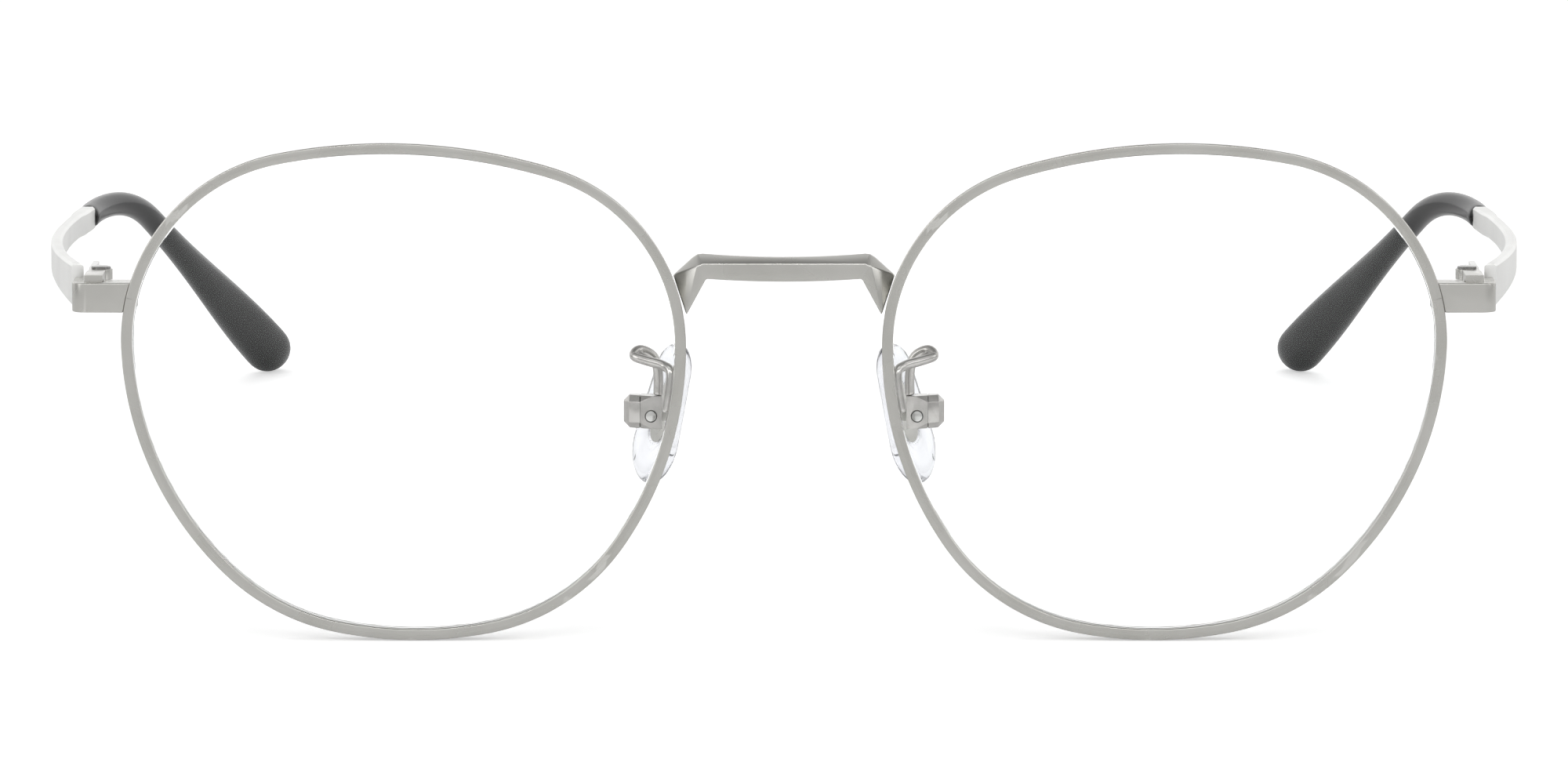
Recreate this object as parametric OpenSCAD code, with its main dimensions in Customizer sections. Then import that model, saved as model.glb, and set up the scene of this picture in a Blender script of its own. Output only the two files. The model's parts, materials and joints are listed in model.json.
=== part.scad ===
// Round wire eyeglasses: two grooved metal rims, a brazed bridge, spring-free barrel hinges,
// adjustable nose pads and long temples with ear hooks.  Millimetres, +Z up, lenses face -Y.
// Each piece is drawn for the wearer's right side (-X) with the front upright, and mirrored
// for the left side.  The whole pair is then leaned back until its tips rest on the table.

/* [Lenses and bridge] */
// Width of one lens at the bottom of the rim groove
lens_w = 53; // [49:0.5:57]
// Shortest distance between the two lenses
bridge_w = 20; // [17:0.5:23]
// Radius of the sphere that the lens surfaces follow
lens_curve_r = 265; // [200:5:400]
// Thickness of the lens
lens_t = 1.4; // [1.2:0.1:1.6]

/* [Lens outline, as radii of tangent arcs at the drawn size] */
// Arc over the inner top shoulder, beside the bridge
inner_shoulder_r = 17.4; // [16.5:0.1:18.5]
// Shallow arc along the brow
brow_r = 55; // [50:0.5:60]
// Arc over the outer top shoulder, above the hinge
outer_shoulder_r = 18; // [17.2:0.1:19]
// Arc down the outer side
outer_cheek_r = 32; // [30:0.5:34]
// Arc round the outer bottom
outer_bottom_r = 21; // [20:0.5:22.5]
// Shallow arc along the bottom
bottom_r = 39; // [36:0.5:42]

/* [Rim wire] */
// Width of the rim wire, seen from the front
rim_w = 1.05; // [1:0.05:1.4]
// Depth of the rim wire, front to back
rim_d = 1.8; // [1.7:0.05:2.4]
// Depth of the V groove that holds the lens
groove_depth = 0.5; // [0.4:0.05:0.6]
// Width of the groove at its mouth
groove_w = 0.8; // [0.6:0.05:1]
// Fall of the two front facets from the crease to the edges
facet_fall = 0.14; // [0.05:0.01:0.25]
// Angle at which the rim wire turns out to stay square to the lens
rim_flare = 4; // [0:0.5:8]

/* [Bridge] */
// Height of the bridge above the middle of the lenses
bridge_rise = 12.1; // [9:0.1:14]
// Height of the bridge bar
bridge_h = 2.25; // [1.6:0.05:2.8]
// Depth of the bridge bar, front to back
bridge_d = 1.9; // [1.6:0.1:2.4]
// Distance from the middle to each corner of the bridge
bridge_corner = 7.8; // [6.5:0.1:8.2]
// Dip of the bridge bar at its middle
bridge_dip = 0.3; // [0:0.05:0.8]
// Length of the feet that run down the rims
bridge_foot = 3.5; // [2:0.1:4.5]

/* [End pieces and rim locks] */
// Reach of the end piece past the rim
end_reach = 4.8; // [4.6:0.1:6]
// Height of the end piece
end_h = 2.85; // [2.6:0.05:3.6]
// Height of the hinges above the middle of the lenses
hinge_rise = 9.1; // [6:0.1:11]
// Thickness of the front wall of the end piece
end_front_t = 0.9; // [0.8:0.05:1.1]
// Thickness of the side wall of the end piece
end_side_t = 1.2; // [1:0.05:1.3]
// Radius round the outer corner of the end piece
end_corner_r = 1.5; // [1:0.1:2]
// Depth of the end piece, front to back
end_depth = 5.6; // [5:0.1:7]
// Width of the two blocks that clamp the split rim
block_w = 1.7; // [1.5:0.1:2]
// Depth of the two blocks
block_d = 2.5; // [2.2:0.1:3]
// Width of the split between the blocks and through the rim
split_gap = 0.1; // [0.05:0.01:0.2]
// Radius of the block screw
block_screw_r = 0.45; // [0.4:0.05:0.5]

/* [Hinges] */
// Radius of the hinge barrels
barrel_r = 1.1; // [1:0.05:1.2]
// Distance of the hinge axis behind the end piece's back edge
hinge_setback = 1.4; // [1.3:0.1:2]
// Radius of the hinge screw
hinge_screw_r = 0.5; // [0.4:0.05:0.6]
// Height of all three barrels together
hinge_h = 3.4; // [2.8:0.1:3.6]
// Height of the hinge's middle above the end piece's
hinge_lift = 0.4; // [0.1:0.05:0.5]
// Height of the middle barrel, which belongs to the temple
middle_barrel_h = 1.2; // [1:0.05:1.4]
// Length of the plate brazed to the temple
hinge_plate_len = 6; // [4:0.5:9]

/* [Temples and tips] */
// Length of one temple along its line, hinge to end
temple_len = 142; // [135:1:155]
// Length from the hinge to the start of the tip
temple_straight = 80; // [74:1:88]
// Height of the temple at the hinge
temple_h = 4.2; // [3.4:0.1:4.6]
// Height of the temple where it enters the tip
temple_neck_h = 2.4; // [2:0.1:2.8]
// Thickness of the temple
temple_t = 1.15; // [1:0.05:1.3]
// How far the temple bows outward behind the hinge
temple_bow = 4.4; // [2:0.1:6]
// Angle at which the ear hook falls below the front's square
hook_fall = 27; // [20:1:40]
// Angle at which the ear hook turns in towards the head
hook_inward = 18; // [8:1:22]
// Height of the tip at its paddle end
paddle_h = 5.2; // [4.5:0.1:7]
// Thickness of the tip at its paddle end
paddle_t = 3.2; // [2.6:0.1:3.8]
// Angle by which the paddle is twisted to lie on the head
paddle_twist = 43; // [0:1:50]
// Height of the tip where it starts
tip_h = 2.5; // [2.4:0.1:3.4]
// Thickness of the tip
tip_t = 2.5; // [2.4:0.1:3.2]
// Radius of the metal core inside the tip
core_r = 0.6; // [0.5:0.05:0.7]

/* [Nose pads] */
// Length of a nose pad
pad_len = 14; // [11:0.1:15]
// Width of a nose pad
pad_w = 7.8; // [6.5:0.1:8.5]
// Thickness of a nose pad
pad_t = 1.9; // [1.7:0.1:2.2]
// Angle between each pad and upright, seen from the front
pad_frontal = 14; // [5:1:20]
// Angle at which each pad opens towards the back
pad_splay = 24; // [18:1:28]
// Distance of each pad's middle outside the lens's nose edge
pad_outset = 1.6; // [1.5:0.1:1.9]
// Height of the pad screw below the middle of the lenses
pad_drop = 2.9; // [1:0.1:5]
// Distance from the front of the rims to the pad screw's box
box_y = 5.2; // [4.4:0.1:6]
// Radius of the wire of the pad arm
arm_r = 0.5; // [0.4:0.05:0.6]
// Radius of the pad screw
pad_screw_r = 0.4; // [0.35:0.05:0.45]

/* [Fits] */
// Radial clearance of a screw in a hole that turns on it
running_gap = 0.05; // [0.02:0.01:0.1]
// Gap between faces that slide past each other
side_gap = 0.1; // [0.05:0.01:0.15]
// Gap between a lens and its groove
lens_gap = 0.03; // [0.01:0.01:0.05]

/* [Hidden] */
SIDE_PIECES = ["rim", "lens", "end_piece", "upper_block", "lower_block", "block_screw",
    "front_hinge", "temple_hinge", "hinge_screw", "temple", "temple_tip",
    "pad_arm", "pad_box", "pad_screw", "pad_core", "nose_pad"];
eps = 0.01;

// ---- lens outline: tangent arcs, each [start angle, radius]; the last two radii close the ring
ARC_STARTS = [1, 73, 101, 183, 226, 259, 280, 325];
arc_n = len(ARC_STARTS);
function unit(a) = [cos(a), sin(a)];
function arc_start(i) = ARC_STARTS[i % arc_n];
function arc_turn(i) = unit(arc_start(i + 1)) - unit(arc_start(i));
FREE_RADII = [inner_shoulder_r, brow_r, outer_shoulder_r, outer_cheek_r, outer_bottom_r, bottom_r];
function total(list, i = 0) = i == len(list) ? [0, 0] : list[i] + total(list, i + 1);
ring_error = total([for (i = [0 : arc_n - 3]) FREE_RADII[i] * arc_turn(i)]);
turn_a = arc_turn(arc_n - 2);
turn_b = arc_turn(arc_n - 1);
turn_det = turn_a.x * turn_b.y - turn_a.y * turn_b.x;
inner_bottom_r = (ring_error.y * turn_b.x - ring_error.x * turn_b.y) / turn_det;
inner_cheek_r = (ring_error.x * turn_a.y - ring_error.y * turn_a.x) / turn_det;
DRAWN_RADII = concat(FREE_RADII, [inner_bottom_r, inner_cheek_r]);
function drawn_centre(i) = i == 0 ? [0, 0]
    : drawn_centre(i - 1) + (DRAWN_RADII[i - 1] - DRAWN_RADII[i]) * unit(arc_start(i));
function arc_span(i) = (arc_start(i + 1) - arc_start(i) + 360) % 360;
DRAWN_POINTS = [for (i = [0 : arc_n - 1]) for (a = [0 : 1 : arc_span(i)])
    drawn_centre(i) + DRAWN_RADII[i] * unit(arc_start(i) + a)];
drawn_right = max([for (p = DRAWN_POINTS) p.x]);
drawn_left = min([for (p = DRAWN_POINTS) p.x]);
drawn_top = max([for (p = DRAWN_POINTS) p.y]);
drawn_bottom = min([for (p = DRAWN_POINTS) p.y]);
eye_scale = lens_w / (drawn_right - drawn_left);
lens_h = (drawn_top - drawn_bottom) * eye_scale;
eye_x = -(lens_w + bridge_w) / 2;
rim_wall = rim_w - groove_depth;
eye_z = lens_h / 2 + rim_wall;
DRAWN_MIDDLE = [(drawn_right + drawn_left) / 2, (drawn_top + drawn_bottom) / 2];
function arc_centre(i) = [eye_x, eye_z] + eye_scale * (drawn_centre(i) - DRAWN_MIDDLE);
function arc_radius(i) = eye_scale * DRAWN_RADII[i];
groove_y = rim_d / 2;

// ---- places of the pieces, front upright
rim_outer_x = eye_x - lens_w / 2 - rim_wall;
end_x = rim_outer_x - end_reach;
hinge_z = eye_z + hinge_rise;
end_y = 0.15;
block_y = end_y + end_front_t;
end_back_y = end_y + end_depth;
hinge_y = end_back_y + hinge_setback;
temple_inner_x = end_x + end_side_t;
hinge_mid = hinge_z + hinge_lift;
wall_gap = 0.15;
hinge_x = temple_inner_x + barrel_r + wall_gap;
hinge_screw_head_h = 0.3;

// ---- line of the temple and its tip
temple_overhang = 0.3;
temple_lift = 0.6;
BODY_START = [end_x + temple_t / 2 - temple_overhang, end_back_y + wall_gap, hinge_z + temple_lift];
function bezier(a, b, c, d, t) = pow(1 - t, 3) * a + 3 * t * pow(1 - t, 2) * b
    + 3 * t * t * (1 - t) * c + t * t * t * d;
SHAFT_END = BODY_START + [-temple_bow, temple_straight, -1.6];
function shaft_point(t) = bezier(BODY_START, BODY_START + [-1.1 * temple_bow, temple_straight / 3, -0.3],
    SHAFT_END + [-2, -temple_straight / 3, 0.2], SHAFT_END, t);
hook_dir = [sin(hook_inward) * cos(hook_fall), cos(hook_inward) * cos(hook_fall), -sin(hook_fall)];
bend_len = 19;
HOOK_START = SHAFT_END + [5.5, bend_len - 1, -1.9];
function bend_point(t) = bezier(SHAFT_END, SHAFT_END + [0.5, bend_len * 0.4, 0.5],
    HOOK_START - hook_dir * bend_len * 0.4, HOOK_START, t);
hook_len = temple_len - temple_straight - bend_len;
tip_stations = 36;
tip_sides = 20;
bend_share = 14;
// Distance along the hook of station i: the stations crowd together towards the rounded end
function hook_at(i) = hook_len * (1 - pow(1 - (i - bend_share) / (tip_stations - bend_share), 1.6));
function tip_point(i) = i <= bend_share ? bend_point(i / bend_share) : HOOK_START + hook_dir * hook_at(i);
function tip_share(i) = (i <= bend_share ? bend_len * i / bend_share : bend_len + hook_at(i)) / (bend_len + hook_len);

// ---- skins stretched over rings of points
function norm_of(v) = v / norm(v);
function heading(list, i) = norm_of(list[min(i + 1, len(list) - 1)] - list[max(i - 1, 0)]);
JOIN_DIR = norm_of(SHAFT_END - shaft_point(0.95));
function ring_at(at, along, outline) =
    let (side = norm_of(cross(along, [0, 0, 1])), up = cross(side, along))
    [for (p = outline) at + side * p.x + up * p.y];
// Each ring runs anticlockwise for someone who looks along the skin from its first ring
module skin(rings) {
    n = len(rings[0]);
    last = (len(rings) - 1) * n;
    polyhedron(
        points = [for (r = rings) for (p = r) p],
        faces = concat(
            [[for (j = [n - 1 : -1 : 0]) j]],
            [[for (j = [0 : n - 1]) last + j]],
            [for (i = [0 : len(rings) - 2]) for (j = [0 : n - 1])
                [i * n + j, i * n + (j + 1) % n, (i + 1) * n + j]],
            [for (i = [0 : len(rings) - 2]) for (j = [0 : n - 1])
                [(i + 1) * n + j, i * n + (j + 1) % n, (i + 1) * n + (j + 1) % n]]));
}
function backwards(list) = [for (i = [len(list) - 1 : -1 : 0]) list[i]];
function oval(w, h, n) = [for (j = [0 : n - 1]) [w / 2 * cos(360 * j / n), h / 2 * sin(360 * j / n)]];
function bar(w, h, c) = [[w / 2, h / 2 - c], [w / 2 - c, h / 2], [c - w / 2, h / 2], [-w / 2, h / 2 - c],
    [-w / 2, c - h / 2], [c - w / 2, -h / 2], [w / 2 - c, -h / 2], [w / 2, c - h / 2]];

// ---- rest attitude: the pair leans back until the tips touch the table
TIP_LINE = [for (i = [0 : tip_stations]) tip_point(i)];
function tip_heading(i) = i == 0 ? JOIN_DIR : heading(TIP_LINE, i);
function smooth(t) = t * t * (3 - 2 * t);
function tip_flare(t) = smooth(min(1, max(0, (t - 0.3) / 0.62)));
function tip_round(t) = let (s = max(0, (t - 0.93) / 0.07)) sqrt(max(0.02, 1 - s * s));
function turned(outline, a) = [for (p = outline) [p.x * cos(a) + p.y * sin(a), p.y * cos(a) - p.x * sin(a)]];
function tip_outline(t) = turned(
    oval((tip_t + (paddle_t - tip_t) * tip_flare(t)) * tip_round(t),
        (tip_h + (paddle_h - tip_h) * tip_flare(t)) * tip_round(t), tip_sides),
    paddle_twist * tip_flare(t));
TIP_RINGS = [for (i = [0 : tip_stations]) ring_at(TIP_LINE[i], tip_heading(i), tip_outline(tip_share(i)))];
lean = min([for (r = TIP_RINGS) for (p = r) atan2(p.z, p.y - rim_d)]);
rear_y = max([for (r = TIP_RINGS) for (p = r) (p.y - rim_d) * cos(lean) + p.z * sin(lean)]);
front_y = -rim_d * cos(lean);
mid_y = (front_y + rear_y) / 2;

module at_rest() translate([0, -mid_y, 0]) rotate([-lean, 0, 0]) translate([0, -rim_d, 0]) children();
module right() at_rest() children();
module left() at_rest() mirror([1, 0, 0]) children();

// ---- pieces of the front
module along_outline() {
    for (i = [0 : arc_n - 1])
        translate([arc_centre(i).x, 0, arc_centre(i).y])
            rotate([90, 0, 0])
                rotate_extrude(angle = arc_span(i), start = arc_start(i), $fn = 180)
                    translate([arc_radius(i), 0])
                        children();
}

function flared(points) = [for (p = points) [p.x + (p.y + groove_y) * tan(rim_flare), p.y]];

// Section of the rim wire: two shallow front facets, a flat back and the V groove inside
RIM_SECTION = flared([
    [rim_wall - rim_w / 2, 0], [-groove_depth, -facet_fall],
    [-groove_depth, -groove_y + groove_w / 2], [0, -groove_y], [-groove_depth, -groove_y - groove_w / 2],
    [-groove_depth, -rim_d], [rim_wall, -rim_d], [rim_wall, -facet_fall]]);

module rim_envelope() {
    along_outline()
        polygon(flared([[-3, 0], [rim_wall - rim_w / 2, 0], [rim_wall, -facet_fall],
            [rim_wall, -rim_d], [-3, -rim_d]]));
}

// Stations round the outline by the direction they face; the rim runs from under its split
// at the hinge, right round, to the other side of the split
function arc_at(a) = max([for (i = [0 : arc_n - 1]) (a - arc_start(i) + 720) % 360 <= arc_span(i) ? i : -1]);
function outline_at(a, grow) = let (i = arc_at(a)) arc_centre(i) + (arc_radius(i) + grow) * unit(a);
split_arc = 2;
split_rise = (hinge_z - arc_centre(split_arc).y) / arc_radius(split_arc);
split_half = split_gap / arc_radius(split_arc) * 90 / PI;
rim_from = 180 - asin(split_rise) + split_half;
rim_stations = 132;
RIM_ANGLES = [for (k = [0 : rim_stations]) rim_from + (360 - 2 * split_half) * k / rim_stations];

module rim() {
    color("silver")
        skin([for (a = RIM_ANGLES) [for (p = RIM_SECTION)
            let (q = outline_at(a, p.x)) [q.x, -p.y, q.y]]]);
}

// The lens is skinned in rings: out over its front, round the bevel in the groove, and back
function lens_ring(share, r) = [for (a = [0 : 4 : 356])
    let (q = share * (outline_at(a, -groove_depth - 2 * lens_gap) - [eye_x, eye_z]),
        mean_r = (lens_w + lens_h) / 4)
    [eye_x + q.x, groove_y + sqrt(lens_curve_r * lens_curve_r - mean_r * mean_r) - sqrt(r * r - q * q), eye_z + q.y]];
function bevel_ring(grow, y) = [for (a = [0 : 4 : 356]) let (q = outline_at(a, grow)) [q.x, y, q.y]];
function lens_cap(r) = [for (a = [0 : 4 : 356])
    [eye_x + 2 * cos(a), lens_ring(0, r)[0].y + 0.001, eye_z + 2 * sin(a)]];

module lens() {
    bevel = groove_w / 2 - lens_gap;
    front_r = lens_curve_r + lens_t / 2;
    back_r = lens_curve_r - lens_t / 2;
    color("aliceblue", 0.35)
        skin(concat(
            [lens_cap(front_r)],
            [for (share = [0.3, 0.6, 0.85, 1]) lens_ring(share, front_r)],
            [bevel_ring(-groove_depth - 2 * lens_gap, groove_y - bevel), bevel_ring(-2 * lens_gap, groove_y),
                bevel_ring(-groove_depth - 2 * lens_gap, groove_y + bevel)],
            [for (share = [1, 0.85, 0.6, 0.3]) lens_ring(share, back_r)],
            [lens_cap(back_r)]));
}

module bridge() {
    bar_top = eye_z + bridge_rise + bridge_h / 2;
    face_h = 0.66 * bridge_h;
    color("silver")
        at_rest()
            difference() {
                union() {
                    bridge_bar(bar_top, face_h);
                    bridge_leg(bar_top, face_h);
                    mirror([1, 0, 0]) bridge_leg(bar_top, face_h);
                }
                rim_envelope();
                mirror([1, 0, 0]) rim_envelope();
            }
}

// Section of the bar: an upright front face with a bevel above it that slopes back over this share
bevel_reach = 0.8;

module bridge_bar(bar_top, face_h) {
    sag_r = (bridge_corner * bridge_corner + bridge_dip * bridge_dip) / (2 * bridge_dip);
    intersection() {
        translate([-bridge_corner, 0, 0])
            rotate([90, 0, 90])
                linear_extrude(2 * bridge_corner)
                    polygon([[0, bar_top - bridge_h - bridge_dip], [0, bar_top - bridge_h + face_h],
                        [bevel_reach * bridge_d, bar_top], [bridge_d, bar_top],
                        [bridge_d, bar_top - bridge_h - bridge_dip]]);
        translate([0, bridge_d + 1, 0])
            rotate([90, 0, 0])
                linear_extrude(bridge_d + 2)
                    difference() {
                        translate([0, bar_top - bridge_h + sag_r - bridge_dip])
                            circle(sag_r, $fn = 720);
                        translate([0, bar_top + sag_r - bridge_dip])
                            circle(sag_r, $fn = 720);
                    }
    }
}

// One leg, from the corner of the bar out and down along the rim: the bar's front face narrows to
// a point, and the metal slopes back from it to the rim
module bridge_leg(bar_top, face_h) {
    corner = -bridge_corner;
    rim_x = eye_x + lens_w / 2 + rim_wall;
    low = bar_top - bridge_h;
    LEG_END = [rim_x + 0.1, low - bridge_foot];
    LEG_INNER = [corner + 0.35, low];
    hull() {
        leg_plate(0, eps, [[corner, low + face_h], [corner - 0.5, low + face_h - 0.25], LEG_END, LEG_INNER]);
        leg_plate(bevel_reach * bridge_d, bridge_d,
            [[corner, bar_top], [corner - 0.5, bar_top - 0.05], [corner - 1, bar_top - 0.37],
                [rim_x - 1.2, low + 0.2], LEG_END, LEG_INNER]);
    }
}

module leg_plate(front, back, points) {
    translate([0, back, 0])
        rotate([90, 0, 0])
            linear_extrude(back - front)
                polygon(points);
}

module end_piece() {
    wall_x = -eye_x + lens_w / 2;
    color("silver")
        difference() {
            translate([0, 0, hinge_z - end_h / 2])
                linear_extrude(end_h)
                    difference() {
                        union() {
                            translate([end_x + end_corner_r, end_y])
                                square([-end_x - wall_x + 3 - end_corner_r, end_front_t]);
                            translate([end_x, end_y + end_corner_r])
                                square([end_side_t, end_depth - end_corner_r]);
                            translate([end_x + end_corner_r, end_y + end_corner_r])
                                circle(end_corner_r, $fn = 96);
                        }
                        translate([end_x + end_side_t, end_y + end_front_t])
                            square([end_reach, end_depth]);
                    }
            rim_envelope();
        }
}

block_x = rim_outer_x - block_w;
block_screw_x = block_x + block_w / 2;
block_screw_y = block_y + block_d * 0.6;
block_head_h = 0.35;
block_low = hinge_z - end_h / 2 + block_head_h;

module rim_block(low, high) {
    difference() {
        translate([block_x, block_y, low])
            cube([block_w + rim_w + 0.4, block_d, high - low]);
        rim_envelope();
    }
}

module upper_block() {
    color("silver")
        difference() {
            rim_block(hinge_z + split_gap / 2, hinge_z + end_h / 2);
            translate([block_screw_x, block_screw_y, hinge_z - end_h])
                cylinder(r = block_screw_r, h = 2 * end_h, $fn = 48);
        }
}

module lower_block() {
    color("silver")
        difference() {
            rim_block(block_low, hinge_z - split_gap / 2);
            translate([block_screw_x, block_screw_y, hinge_z - end_h])
                cylinder(r = block_screw_r + running_gap, h = 2 * end_h, $fn = 48);
        }
}

// A slotted screw standing on its head: the head is at z = 0 and the shank points up
module screw(shank_r, shank_len, head_r, head_h) {
    difference() {
        union() {
            translate([0, 0, -head_h]) cylinder(r = head_r, h = head_h, $fn = 48);
            cylinder(r = shank_r, h = shank_len, $fn = 48);
        }
        translate([-head_r - 1, -shank_r * 0.3, -head_h - eps])
            cube([2 * head_r + 2, shank_r * 0.6, head_h * 0.5 + eps]);
    }
}

module block_screw() {
    color("lightgray")
        translate([block_screw_x, block_screw_y, block_low])
            screw(block_screw_r, end_h - block_head_h, block_screw_r * 1.7, block_head_h);
}

// ---- hinge: barrels are stacked on one axis, front leaf above and below, temple leaf between
outer_barrel_h = (hinge_h - middle_barrel_h) / 2 - side_gap;
hinge_plate_t = 0.6;

module barrel(low, high, hole_r) {
    translate([hinge_x, hinge_y, low])
        difference() {
            children();
            translate([0, 0, -1]) cylinder(r = hole_r, h = high - low + 2, $fn = 48);
        }
}

module front_leaf(low, high, hole_r) {
    arm_x = temple_inner_x - hinge_x + 0.1;
    barrel(low, high, hole_r)
        union() {
            cylinder(r = barrel_r, h = high - low, $fn = 64);
            translate([arm_x, block_y - hinge_y, 0])
                cube([barrel_r - arm_x - 0.6, hinge_y - block_y, high - low]);
        }
}

module front_hinge() {
    top = hinge_mid + hinge_h / 2;
    bottom = hinge_mid - hinge_h / 2;
    color("silver")
        union() {
            front_leaf(bottom, bottom + outer_barrel_h, hinge_screw_r);
            front_leaf(top - outer_barrel_h, top, hinge_screw_r + running_gap);
            translate([temple_inner_x, block_y, bottom])
                cube([0.8, end_back_y - block_y - 0.6, hinge_h]);
        }
}

module temple_hinge() {
    low = hinge_mid - middle_barrel_h / 2;
    color("silver")
        union() {
            barrel(low, low + middle_barrel_h, hinge_screw_r + running_gap)
                union() {
                    cylinder(r = barrel_r, h = middle_barrel_h, $fn = 64);
                    translate([temple_inner_x - hinge_x, 0, 0])
                        cube([barrel_r, 2.2, middle_barrel_h]);
                }
            translate([temple_inner_x, hinge_y + barrel_r + 0.2, hinge_mid - hinge_h / 2])
                cube([hinge_plate_t, hinge_plate_len, hinge_h]);
        }
}

module hinge_screw() {
    color("lightgray")
        translate([hinge_x, hinge_y, hinge_mid + hinge_h / 2])
            mirror([0, 0, 1])
                screw(hinge_screw_r, hinge_h, barrel_r * 0.85, hinge_screw_head_h);
}

// ---- temples
shaft_stations = 26;
SHAFT_LINE = [for (i = [0 : shaft_stations]) shaft_point(i / shaft_stations)];
function shaft_height(t) = temple_neck_h + (temple_h - temple_neck_h) * pow(1 - t, 2.2);
core_stations = 27;
function core_rings(r) = [for (i = [0 : core_stations])
    ring_at(tip_point(i), tip_heading(i), oval(2 * r, 2 * r, tip_sides))];
function shaft_heading(i) = i == 0 ? [0, 1, 0] : i == shaft_stations ? JOIN_DIR : heading(SHAFT_LINE, i);

module temple() {
    collar_from = 0.9;
    color("gainsboro")
        union() {
            skin([for (i = [0 : shaft_stations]) let (t = i / shaft_stations)
                ring_at(SHAFT_LINE[i], shaft_heading(i),
                    bar(temple_t * (t > collar_from ? 1.4 : 1), shaft_height(t), 0.25))]);
            skin(core_rings(core_r));
        }
}

// The tip is sleeved over the core: its skin runs out of the blind channel and over the outside
module temple_tip() {
    color("black")
        skin(concat(backwards(core_rings(core_r + lens_gap)), TIP_RINGS));
}

// ---- nose pads: the lug swings on the screw in the box, and its neck carries the leaf in the pad
box_x = eye_x + lens_w / 2 - 2.85;
box_z = eye_z - pad_drop;
box_w = 2.1;
box_h = 3.2;
box_d = 2.8;
box_rise = 0.35;
box_wall = 0.4;
box_wing = 1.6;
box_chamfer = 0.9;
box_left = box_x - box_w / 2;
box_right = box_x + box_w / 2;
box_mid_y = box_y + box_d / 2;
box_low = box_z + box_rise - box_h / 2;
slot_d = 1.2;
lug_t = 1;
lug_h = 1.1;
lug_r = 0.8;
neck_t = 0.5;
neck_x = box_right + 0.25 + neck_t / 2;
leaf_t = 0.4;
leaf_in = 0.1;
leaf_r = 1.6;
leaf_share = 0.63;
leaf_dist = 3.4;
leaf_ahead = 1.2;
pad_setback = 5.4;
PAD_AT = [eye_x + lens_w / 2 - pad_outset, box_mid_y + pad_setback, box_z];
pad_back = -pad_t / 2;
stem_gap = 0.1;
stem_len = 3.1;
stem_foot = 1;
neck_end_y = PAD_AT.y + (pad_back - stem_gap - cos(pad_splay) * (cos(pad_frontal)
    * (neck_x + neck_t / 2 - PAD_AT.x) + sin(pad_frontal) * lug_h / 2)) / sin(pad_splay);

module pad_frame() translate(PAD_AT) rotate([0, pad_frontal, 0]) rotate([0, 0, pad_splay]) children();

module pad_box() {
    color("silver")
        difference() {
            translate([0, 0, box_low])
                linear_extrude(box_h)
                    polygon([[box_right, box_y], [box_left, box_y],
                        [box_left - box_wing, box_y + box_chamfer], [box_left - box_wing, box_y + box_d],
                        [box_right, box_y + box_d]]);
            translate([box_left - side_gap, box_mid_y - slot_d / 2, box_low + box_wall])
                cube([box_w + 1, slot_d, box_h - 2 * box_wall]);
            translate([box_x, box_y - 1, box_z])
                rotate([-90, 0, 0]) cylinder(r = pad_screw_r, h = box_d + 2, $fn = 48);
        }
}

module pad_screw() {
    color("lightgray")
        translate([box_x, box_y, box_z])
            rotate([-90, 0, 0])
                screw(pad_screw_r, box_d - 0.1, pad_screw_r * 1.5, 0.2);
}

module lug() {
    difference() {
        union() {
            translate([box_x, box_mid_y - lug_t / 2, box_z])
                rotate([-90, 0, 0]) cylinder(r = lug_r, h = lug_t, $fn = 96);
            translate([box_x, box_mid_y - lug_t / 2, box_z - lug_h / 2])
                cube([neck_x + neck_t / 2 - box_x, lug_t, lug_h]);
            translate([neck_x - neck_t / 2, box_mid_y - lug_t / 2, box_z - lug_h / 2])
                cube([neck_t, neck_end_y - box_mid_y + lug_t / 2, lug_h]);
        }
        translate([box_x, box_mid_y - lug_t, box_z])
            rotate([-90, 0, 0]) cylinder(r = pad_screw_r + running_gap, h = 2 * lug_t, $fn = 96);
    }
}

// A drop with its big end down, as points round the outline of two circles and their tangents
pad_sides = 64;
function drop_points(r_big, r_small, dist) = [for (k = [0 : pad_sides - 1])
    let (u = [-cos(360 * k / pad_sides), sin(360 * k / pad_sides)])
    u.y < (r_big - r_small) / dist ? r_big * u - [0, dist / 2] : r_small * u + [0, dist / 2]];

// The stem carries on from the neck, along the outer face of the pad, and steps in to the leaf
module stem() {
    pad_frame() {
        translate([pad_back - stem_gap - neck_t, -leaf_ahead - stem_len, -lug_h / 2])
            cube([neck_t, stem_len, lug_h]);
        translate([pad_back - stem_gap - neck_t, -leaf_ahead - stem_foot, -lug_h / 2])
            cube([stem_gap + neck_t + leaf_in + leaf_t / 2, stem_foot, lug_h]);
    }
}

// The leaf lies flush in the outer face of the pad
module leaf_plate() {
    pad_frame()
        translate([pad_back + leaf_in, -leaf_ahead, 0])
            rotate([90, 0, 90])
                linear_extrude(leaf_t)
                    polygon(drop_points(leaf_r, leaf_r * leaf_share, leaf_dist));
}

module pad_core() {
    color("silver")
        union() {
            leaf_plate();
            stem();
            lug();
        }
}

// Rings of the nose pad, each at x of the pad's own frame
function drop_ring(x, points, share, ahead) = [for (q = points) [x, share * q.x - ahead, share * q.y]];
function pad_ring(x, share) =
    let (r_big = pad_w / 2, r_small = pad_w * 0.36)
    drop_ring(x, drop_points(r_big, r_small, pad_len - r_big - r_small), share, 0);
function recess_ring(x) = drop_ring(x,
    drop_points(leaf_r + lens_gap, leaf_r * leaf_share + lens_gap, leaf_dist), 1, leaf_ahead);
pad_crown = 0.16;
recess_floor = pad_back + leaf_in + leaf_t + lens_gap / 2;

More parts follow.
